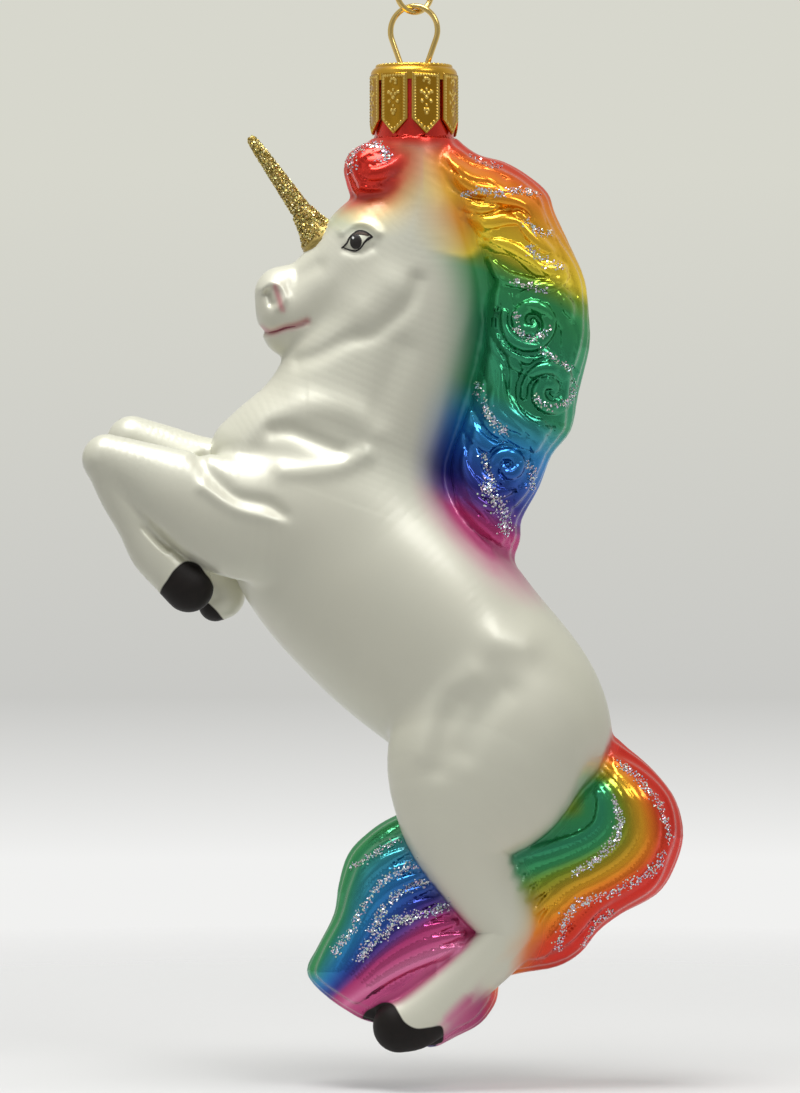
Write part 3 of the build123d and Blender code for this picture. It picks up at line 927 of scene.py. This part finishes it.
def shell_piece(name, chosen, paint, material, nodes):
    """Part of the figure's surface as a thin closed shell of glass."""
    faces = figure_quads[chosen]
    used, index = np.unique(faces, return_inverse=True)
    faces = index.reshape(faces.shape)
    count = len(used)
    outside = figure_places[used]
    normals = figure_normals[used]
    points = np.concatenate([outside, outside - normals * GLASS_WALL])
    both_normals = np.concatenate([normals, -normals])
    slab = closed_slab(faces, count)
    piece = place_mesh(name, points, slab, "figure", material, nodes, both_normals)
    for key, values in paint.items():
        add_attribute(piece.data, key, np.concatenate([values[used], values[used]]))


def on_figure(x, y, side):
    """Where a line square to the picture first meets the figure from one side: place and normal, or none."""
    start = to_metres([(x, side * FIELD_HIGH[1], y)])[0]
    place, normal, _, _ = figure_tree.ray_cast(Vector(start), Vector((0, -side, 0)))
    if place is None:
        return None
    return np.array(place), np.array(normal)


def outward(piece):
    """Faces turned to point out of their closed shapes."""
    shape = bmesh.new()
    shape.from_mesh(piece.data)
    bmesh.ops.recalc_face_normals(shape, faces=shape.faces)
    shape.to_mesh(piece.data)
    shape.free()
    return piece


def paint_strokes(name, lines, material, lift=PAINT_LIFT, columns=5, steps=6):
    """Brush strokes as thin closed films on both sides of the head."""
    points = []
    faces = []
    for line in lines:
        rows = smooth_rows(line, steps)
        along = np.gradient(rows[:, :2], axis=0)
        along /= np.linalg.norm(along, axis=1)[:, None]
        for side in (-1, 1):
            sheet = []
            for (x, y, half), (run, fall) in zip(rows, along):
                for share in np.linspace(-1, 1, columns):
                    sheet.append(on_figure(x - fall * half * share, y + run * half * share, side))
            quads = closed_slab(grid_quads(len(rows), columns), len(sheet))
            faces += (quads + len(points)).tolist()
            points += [place + normal * lift for place, normal in sheet]
            points += [place - normal * PAINT_SINK for place, normal in sheet]
    outward(place_mesh(name, points, faces, "figure", material))


def dot_line(centre_x, centre_y, half_width, half_height):
    """An upright oval as a stroke that widens and narrows again."""
    turns = np.linspace(-DOT_REACH, DOT_REACH, DOT_ROWS) * math.pi / 2
    return [(centre_x, centre_y + half_height * math.sin(t), half_width * math.cos(t)) for t in turns]


def flakes(name, places, normals, radius, tip, palette, slot, material):
    """Tiny six-sided flakes of glitter, each laid on its place and tipped at random."""
    count = len(places)
    normals = normals + tip * rng.normal(size=(count, 3))
    normals /= np.linalg.norm(normals, axis=1)[:, None]
    first = np.cross(normals, rng.normal(size=(count, 3)))
    first /= np.linalg.norm(first, axis=1)[:, None]
    second = np.cross(normals, first)
    sizes = (radius * rng.uniform(*FLAKE_SIZES, count))[:, None, None]
    sides = FLAKE_SIDES
    turns = np.arange(sides) * 2 * math.pi / sides
    across = np.cos(turns)[None, :, None] * first[:, None]
    ring = sizes * (across + np.sin(turns)[None, :, None] * second[:, None])
    half = (normals * FLAKE_THICKNESS / 2)[:, None]
    points = np.concatenate([places[:, None] + ring + half, places[:, None] + ring - half], axis=1)
    pattern = [list(range(sides)), list(range(2 * sides - 1, sides - 1, -1))]
    pattern += [[k, k + sides, (k + 1) % sides + sides, (k + 1) % sides] for k in range(sides)]
    faces = [[corner + 2 * sides * k for corner in face] for k in range(count) for face in pattern]
    piece = place_mesh(name, points.reshape(-1, 3), faces, "figure", material)
    piece.data.shade_flat()
    colours = np.array([linear(*colour) for colour in palette])[rng.integers(0, len(palette), count)]
    add_attribute(piece.data, "flake", colours.repeat(2 * sides, axis=0))


def glitter_places(streaks):
    """Places and normals for glitter along its streaks, on both sides of the figure."""
    places = []
    normals = []
    for line, width, density in streaks:
        rows = smooth_rows(line, steps=6)
        length = np.linalg.norm(np.diff(rows, axis=0), axis=1).sum()
        for side in (-1, 1):
            for share in rng.uniform(0, len(rows) - 1.001, int(length * density * GLITTER_DENSITY)):
                start = rows[int(share)]
                spot = start + (rows[int(share) + 1] - start) * (share % 1) + rng.normal(size=2) * width / 2
                hit = on_figure(*spot, side)
                if hit:
                    place, normal = hit
                    places.append(place + normal * FLAKE_THICKNESS)
                    normals.append(normal)
    return np.array(places), np.array(normals)


def horn_frame():
    """The horn's foot on the forehead, its axis, two directions across it, and its length."""
    foot, tip = to_metres([(HORN_FOOT_PX[0], 0, HORN_FOOT_PX[1]), (HORN_TIP_PX[0], 0, HORN_TIP_PX[1])])
    length = np.linalg.norm(tip - foot)
    axis = (tip - foot) / length
    return foot, axis, np.array([0.0, 1.0, 0.0]), np.cross(axis, (0, 1, 0)), length


def rough_spindle(name, radii, material, nodes, rings=70, sides=28):
    """A lumpy round rod on the horn's axis, closed at both ends."""
    foot, axis, first, second, length = horn_frame()
    shares, reaches = np.array(radii).T
    at = np.linspace(shares[0], shares[-1], rings)
    points = []
    for share, reach in zip(at, np.interp(at, shares, reaches)):
        for turn in np.arange(sides) * 2 * math.pi / sides:
            out = first * math.cos(turn) + second * math.sin(turn)
            points.append(foot + axis * length * share + out * (reach + HORN_ROUGHNESS * rng.normal()))
    faces = grid_quads(rings, sides, round_trip=True).tolist()
    faces += [list(range(sides)), list(range((rings - 1) * sides, rings * sides))]
    outward(place_mesh(name, points, faces, "figure", material, nodes))


def spindle_places(radii, count):
    """Places and normals for flakes all round a rod on the horn's axis, above the forehead."""
    foot, axis, first, second, length = horn_frame()
    shares, reaches = np.array(radii).T
    at = rng.uniform(0, shares[-1], count)
    turns = rng.uniform(0, 2 * math.pi, count)
    normals = np.cos(turns)[:, None] * first + np.sin(turns)[:, None] * second
    reach = np.interp(at, shares, reaches) + HORN_ROUGHNESS
    return foot + at[:, None] * length * axis + reach[:, None] * normals, normals


def petal_width(down):
    """Half the width of a petal's stamped face at a distance down from its root."""
    taper = np.clip((PETAL_LENGTH - down) / (PETAL_LENGTH - PETAL_SHOULDER), PETAL_TIP, 1)
    return PETAL_HALF_WIDTH * taper


def petal_beads():
    """Beads round a petal's edge and in its flower: place across and down from the root, and radius."""
    beads = []
    for down in np.arange(BEAD_PITCH, PETAL_LENGTH - BEAD_PITCH, BEAD_PITCH):
        edge = petal_width(down) - BEAD_INSET
        if edge > BEAD_RADIUS / 2:
            beads += [(-edge, down, BEAD_RADIUS), (edge, down, BEAD_RADIUS)]
    top_row = np.arange(-TOP_BEADS, TOP_BEADS + 1) * BEAD_PITCH
    beads += [(across, TOP_BEAD_ROW, BEAD_RADIUS) for across in top_row]
    return beads + MOTIF + [(side * x, y, radius) for x, y, radius in MOTIF_PAIRS for side in (-1, 1)]


def petal_relief(across, down):
    """Height of the stamping on a petal: a raised edge, a border of beads and a flower."""
    edge = petal_width(down) - np.abs(across)
    height = EDGE_RIDGE * np.exp(-(edge / EDGE_WIDTH) ** 2)
    for x, y, radius in petal_beads():
        far = np.hypot(across - x, down - y) / radius
        height = np.maximum(height, BEAD_HEIGHT * np.sqrt(np.clip(1 - far ** 2, 0, 1)))
    return height


def cap_stamping(material):
    """The stamped skins of the petals and the beads on the rim, laid on the cap, with the height that sets
    their painted highlight.
    """
    low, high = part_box("crown_cap")
    radius = (high.x - low.x) / 2
    top = RIM_Z + CAP_SHEET
    downs = np.linspace(0, PETAL_LENGTH, PETAL_ROWS)[:, None]
    across = petal_width(downs) * np.linspace(-1, 1, PETAL_COLUMNS)[None]
    downs = np.repeat(downs, PETAL_COLUMNS, axis=1)
    relief = petal_relief(across, downs)
    skin = closed_slab(grid_quads(PETAL_ROWS, PETAL_COLUMNS), PETAL_ROWS * PETAL_COLUMNS)
    points = []
    faces = []
    stamp = []
    for petal in range(PETALS):
        middle = math.radians(CAP_TURN - 90 + 360 * (petal + 0.5) / PETALS)
        turns = middle + across / radius
        faces += (skin + len(points)).tolist()
        for reach in (radius + SKIN_LIFT + relief, np.full_like(relief, radius - SKIN_DEPTH)):
            sheet = np.stack([reach * np.cos(turns), reach * np.sin(turns), top - SKIN_TOP - downs], axis=-1)
            points += list(sheet.reshape(-1, 3))
        # Height of the stamping, which the material turns into a painted highlight on the raised parts
        stamp += [relief.ravel() / BEAD_HEIGHT] * 2
    rim_radius = radius - SKIN_TOP + RIM_BEAD_RADIUS / 2
    ball = bmesh.new()
    bmesh.ops.create_uvsphere(ball, u_segments=10, v_segments=7, radius=RIM_BEAD_RADIUS)
    ball.verts.ensure_lookup_table()
    ball_points = np.array([v.co for v in ball.verts])
    ball_faces = [[v.index for v in f.verts] for f in ball.faces]
    ball.free()
    for bead in range(RIM_BEADS):
        turn = 2 * math.pi * bead / RIM_BEADS
        centre = rim_radius * np.array([math.cos(turn), math.sin(turn), 0])
        centre[2] = high.z - RIM_BEAD_SINK
        faces += [[corner + len(points) for corner in face] for face in ball_faces]
        points += list(ball_points + centre)
        # The rim beads take a fixed share of the painted highlight
        stamp.append(np.full(len(ball_points), RIM_BEAD_PAINTED_HIGHLIGHT))
    piece = outward(place_mesh("cap_stamping", points, faces, "cap", material))
    add_attribute(piece.data, "stamp", np.concatenate(stamp))


def set_inputs(node, **values):
    """Values set on a node's sockets by their names, with spaces as underscores."""
    for name, value in values.items():
        node.inputs[name.replace("_", " ")].default_value = value


class Shading:
    """The nodes of a material or a world, with short ways to add to them."""

    def __init__(self, owner):
        owner.use_nodes = True
        self.nodes = owner.node_tree.nodes
        self.links = owner.node_tree.links

    def add(self, kind, **values):
        """A new node of a kind, with values set on its sockets."""
        node = self.nodes.new(kind)
        set_inputs(node, **values)
        return node

    def feed(self, node, **sources):
        """Outputs of nodes linked to a node's sockets by their names, with spaces as underscores."""
        for name, source in sources.items():
            self.links.new(source, node.inputs[name.replace("_", " ")])

    def noise(self, scale, detail=2.0):
        """A noise in the object's own coordinates."""
        texture = self.add("ShaderNodeTexNoise", Scale=scale, Detail=detail)
        self.feed(texture, Vector=self.add("ShaderNodeTexCoord").outputs["Object"])
        return texture.outputs["Fac"]

    def spread(self, source, low, high, from_low=0.0, from_high=1.0):
        """A number mapped from one range to another."""
        node = self.add("ShaderNodeMapRange", From_Min=from_low, From_Max=from_high, To_Min=low, To_Max=high)
        self.feed(node, Value=source)
        return node.outputs["Result"]

    def attribute(self, name, output="Fac"):
        """A mesh attribute's value."""
        node = self.add("ShaderNodeAttribute")
        node.attribute_name = name
        return node.outputs[output]

    def mix(self, share, first, second):
        """One colour faded into another; each is a colour or a node's output."""
        node = self.add("ShaderNodeMix")
        node.data_type = "RGBA"
        self.links.new(share, node.inputs[0])
        for socket, value in zip(MIX_COLOURS, (first, second)):
            if isinstance(value, bpy.types.NodeSocket):
                self.links.new(value, node.inputs[socket])
            else:
                node.inputs[socket].default_value = (*value, 1)
        return node.outputs[MIX_RESULT]

    def fade(self, value, span, first, second):
        """One colour faded into another over a span of a value."""
        return self.mix(self.spread(value, 0.0, 1.0, *span), first, second)

    def bump(self, shader, height, strength, distance):
        """A fine roughness in the shader's normal."""
        node = self.add("ShaderNodeBump", Strength=strength, Distance=distance)
        self.feed(node, Height=height)
        self.feed(shader, Normal=node.outputs["Normal"])


def start_material(name):
    """A new node material, its nodes and its main shader."""
    material = bpy.data.materials.new(name)
    shading = Shading(material)
    return material, shading, shading.nodes["Principled BSDF"]


def lacquer_material(name, hoof=False):
    """Satin pearl over glass, sprayed with clear colour; where the silvering is bare it turns to foil."""
    material, shading, shader = start_material(name)
    white = shading.mix(shading.noise(PEARL_GRAIN), PEARL_COOL, PEARL_WARM)
    white = shading.mix(shading.attribute("blush"), white, linear(*BLUSH_PINK))
    colour = shading.mix(shading.attribute("tint"), white, shading.attribute("lacquer", "Color"))
    if hoof:
        finish = PEARL_TO_HOOF
        share = shading.spread(shading.attribute("hoof"), 1.0, 0.0, *HOOF_EDGE)
        paint = shading.mix(shading.noise(HOOF_GRAIN), HOOF_DARK, HOOF_BROWN)
        colour = shading.mix(share, colour, paint)
        set_inputs(shader, Specular_IOR_Level=HOOF_SPECULAR)
    else:
        finish = PEARL_TO_SILVER
        share = shading.attribute("silver")
    sources = {socket: shading.spread(share, *ends) for socket, ends in finish.items()}
    shading.feed(shader, Base_Color=colour, **sources)
    set_inputs(shader, Coat_Roughness=COAT_ROUGHNESS)
    shading.bump(shader, shading.noise(LACQUER_GRAIN, FINE_DETAIL), *LACQUER_BUMP)
    return material


def two_tone_material(name, first, second, scale, metallic, roughness, attribute=None):
    """A finish that wanders between two tones, by its grain or by an attribute of its mesh."""
    material, shading, shader = start_material(name)
    grain = shading.noise(scale, FINE_DETAIL)
    share = shading.attribute(attribute) if attribute else grain
    colour = shading.mix(share, linear(*first), linear(*second))
    smoothest, roughest = (roughness * part for part in ROUGHNESS_SPREAD)
    shading.feed(shader, Base_Color=colour, Roughness=shading.spread(grain, smoothest, roughest))
    set_inputs(shader, Metallic=metallic)
    shading.bump(shader, grain, *GRAIN_BUMP)
    return material


def flake_material(name):
    """Foil glitter, each flake in its own colour."""
    material, shading, shader = start_material(name)
    roughness = shading.spread(shading.noise(FOIL_GRAIN), *FOIL_ROUGHNESS)
    shading.feed(shader, Base_Color=shading.attribute("flake", "Color"), Roughness=roughness)
    set_inputs(shader, Metallic=FOIL_METALLIC)
    return material


# The glass figure, cut into the shells that take different finishes
rng = np.random.default_rng(SEED)
figure_points, figure_normals, figure_quads = sculpt()
figure_places = to_metres(figure_points)
figure_tree = BVHTree.FromPolygons(figure_places.tolist(), figure_quads.tolist())
figure_coats, *figure_zones = figure_paint(figure_points)
zone_of_face = np.argmin(np.stack([zone[figure_quads].mean(axis=1) for zone in figure_zones]), axis=0)
zone_of_face[figure_points[figure_quads][:, :, 2].mean(axis=1) < CAP_ROOM_END] = 0
hoof_material = lacquer_material("hoof_paint", hoof=True)
for hoof, (outline, side) in HOOVES.items():
    distance = hoof_reach(figure_points, outline, side)
    chosen = distance[figure_quads].mean(axis=1) < HOOF_MARGIN
    zone_of_face[chosen] = -1
    coats = {**figure_coats, "hoof": distance}
    shell_piece(hoof + "_shell", chosen, coats, hoof_material, (hoof,))
lacquers = {slot: lacquer_material(slot) for slot in sorted({slot for _, _, slot in SHELLS})}
for zone, (name, node, slot) in enumerate(SHELLS):
    shell_piece(name, zone_of_face == zone, figure_coats, lacquers[slot], (node,))

# Painted face
finish = {name: two_tone_material(name, *look) for name, look in FINISHES.items()}
paint_strokes("eye_lids", [LID_LINE], finish["lid_brown"])
paint_strokes("eye_lines", LASH_LINES + [dot_line(*PUPIL)], finish["eye_black"], columns=9)
paint_strokes("eye_glints", [dot_line(*GLINT)], finish["glint_white"], PAINT_LIFT * 2)
paint_strokes("mouth_lines", [MOUTH_LINE], finish["mouth_pink"])

# Glitter, and the horn glued to the forehead
foil = flake_material("glitter")
streaks = glitter_places(GLITTER)
flakes("glitter_streaks", *streaks, FLAKE_RADIUS, GLITTER_TIP, SPARKLES, "rainbow_lacquer", foil)
rough_spindle("horn_rod", HORN_RADII, finish["horn_gold"], ("horn",))
rough_spindle("glue_bead", GLUE_RADII, finish["horn_gold"], ("horn_glue",), rings=30)
for name, radii, count in (("horn", HORN_RADII, HORN_FLAKES), ("glue", GLUE_RADII, GLUE_FLAKES)):
    spots = spindle_places(radii, count)
    flakes(name + "_glitter", *spots, HORN_FLAKE_RADIUS, HORN_FLAKE_TIP, GOLDS, "gold_glitter", foil)

# The cap keeps its sheet metal and gets its stamping, painted brighter on its raised parts as a highlight;
# the wires keep their own shapes
cap_stamping(finish["stamp_gold_painted_highlight"])
for name, look in (("crown_cap", "cap_gold"), ("hanger_wire", "wire_gold"), ("jump_ring", "wire_gold")):
    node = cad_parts[name]
    node.data.materials.clear()
    node.data.materials.append(finish[look])
    node.data.shade_smooth()

# Floor close under the figure, white, fading out to the backdrop
floor_z = RIM_Z - (FLOOR_PX - RIM_PX) * PIXEL
floor_mesh = bpy.data.meshes.new("floor")
corners = [(FLOOR_REACH * x, FLOOR_REACH * y, floor_z) for x, y in ((-1, -1), (1, -1), (1, 1), (-1, 1))]
floor_mesh.from_pydata(corners, [], [(0, 1, 2, 3)])
floor = bpy.data.objects.new("floor", floor_mesh)
bpy.context.collection.objects.link(floor)
floor_material, shading, shader = start_material("floor_white")
set_inputs(shader, Base_Color=FLOOR_WHITE, Roughness=FLOOR_ROUGHNESS)
away = shading.add("ShaderNodeVectorMath")
away.operation = "LENGTH"
shading.links.new(shading.add("ShaderNodeTexCoord").outputs["Object"], away.inputs[0])
shading.feed(shader, Alpha=shading.spread(away.outputs["Value"], 1.0, 0.0, *FLOOR_FADE))
floor_mesh.materials.append(floor_material)

# World: a pale backdrop, white low down and grey above, with a darker room behind the camera
world = bpy.data.worlds.new("studio")
bpy.context.scene.world = world
sky = Shading(world)
parts = sky.add("ShaderNodeSeparateXYZ")
sky.feed(parts, Vector=sky.add("ShaderNodeTexCoord").outputs["Generated"])
wall = sky.fade(parts.outputs["Z"], WALL_RISE, WALL_LOW, WALL_HIGH)
backdrop = sky.fade(parts.outputs["Z"], SWEEP_RISE, TABLE_WHITE, wall)
backdrop = sky.fade(parts.outputs["Y"], ROOM_TURN, ROOM, backdrop)
seen = sky.nodes["Background"]
sky.feed(seen, Color=backdrop)
lighting = sky.add("ShaderNodeBackground")
sky.feed(lighting, Color=sky.fade(parts.outputs["Z"], SKY_RISE, SKY_LOW, SKY_HIGH))

# The camera, reflections and clear things see the backdrop; other light comes from the sky
path = sky.add("ShaderNodeLightPath")
most = path.outputs["Is Camera Ray"]
for other in ("Is Glossy Ray", "Is Transmission Ray"):
    larger = sky.add("ShaderNodeMath")
    larger.operation = "MAXIMUM"
    sky.links.new(most, larger.inputs[0])
    sky.links.new(path.outputs[other], larger.inputs[1])
    most = larger.outputs["Value"]
choose = sky.add("ShaderNodeMixShader")
sky.feed(choose, Fac=most)
sky.links.new(lighting.outputs["Background"], choose.inputs[1])
sky.links.new(seen.outputs["Background"], choose.inputs[2])
sky.feed(sky.nodes["World Output"], Surface=choose.outputs["Shader"])
bpy.context.scene.view_settings.view_transform = "Standard"

# Lamps: place, size and power
for name, place, size, power in LAMPS:
    lamp = bpy.data.objects.new(name, bpy.data.lights.new(name, "AREA"))
    bpy.context.collection.objects.link(lamp)
    lamp.location = place
    lamp.data.size = size
    lamp.data.energy = power
    lamp.rotation_euler = (Vector(LAMP_AIM) - lamp.location).to_track_quat("-Z", "Y").to_euler()

# Camera level with the middle of the picture
centre_x = (PHOTO_WIDTH / 2 - NECK_AXIS_PX) * PIXEL
centre_z = RIM_Z - (PHOTO_HEIGHT / 2 - RIM_PX) * PIXEL
camera = bpy.data.objects.new("camera", bpy.data.cameras.new("camera"))
bpy.context.collection.objects.link(camera)
camera.location = (centre_x, -CAMERA_DISTANCE, centre_z)
camera.rotation_euler = (math.pi / 2, 0, 0)
camera.data.sensor_fit = "VERTICAL"
camera.data.sensor_height = SENSOR_HEIGHT
camera.data.lens = SENSOR_HEIGHT * CAMERA_DISTANCE / (PHOTO_HEIGHT * PIXEL)
camera.data.clip_start = CAMERA_NEAREST
bpy.context.scene.camera = camera
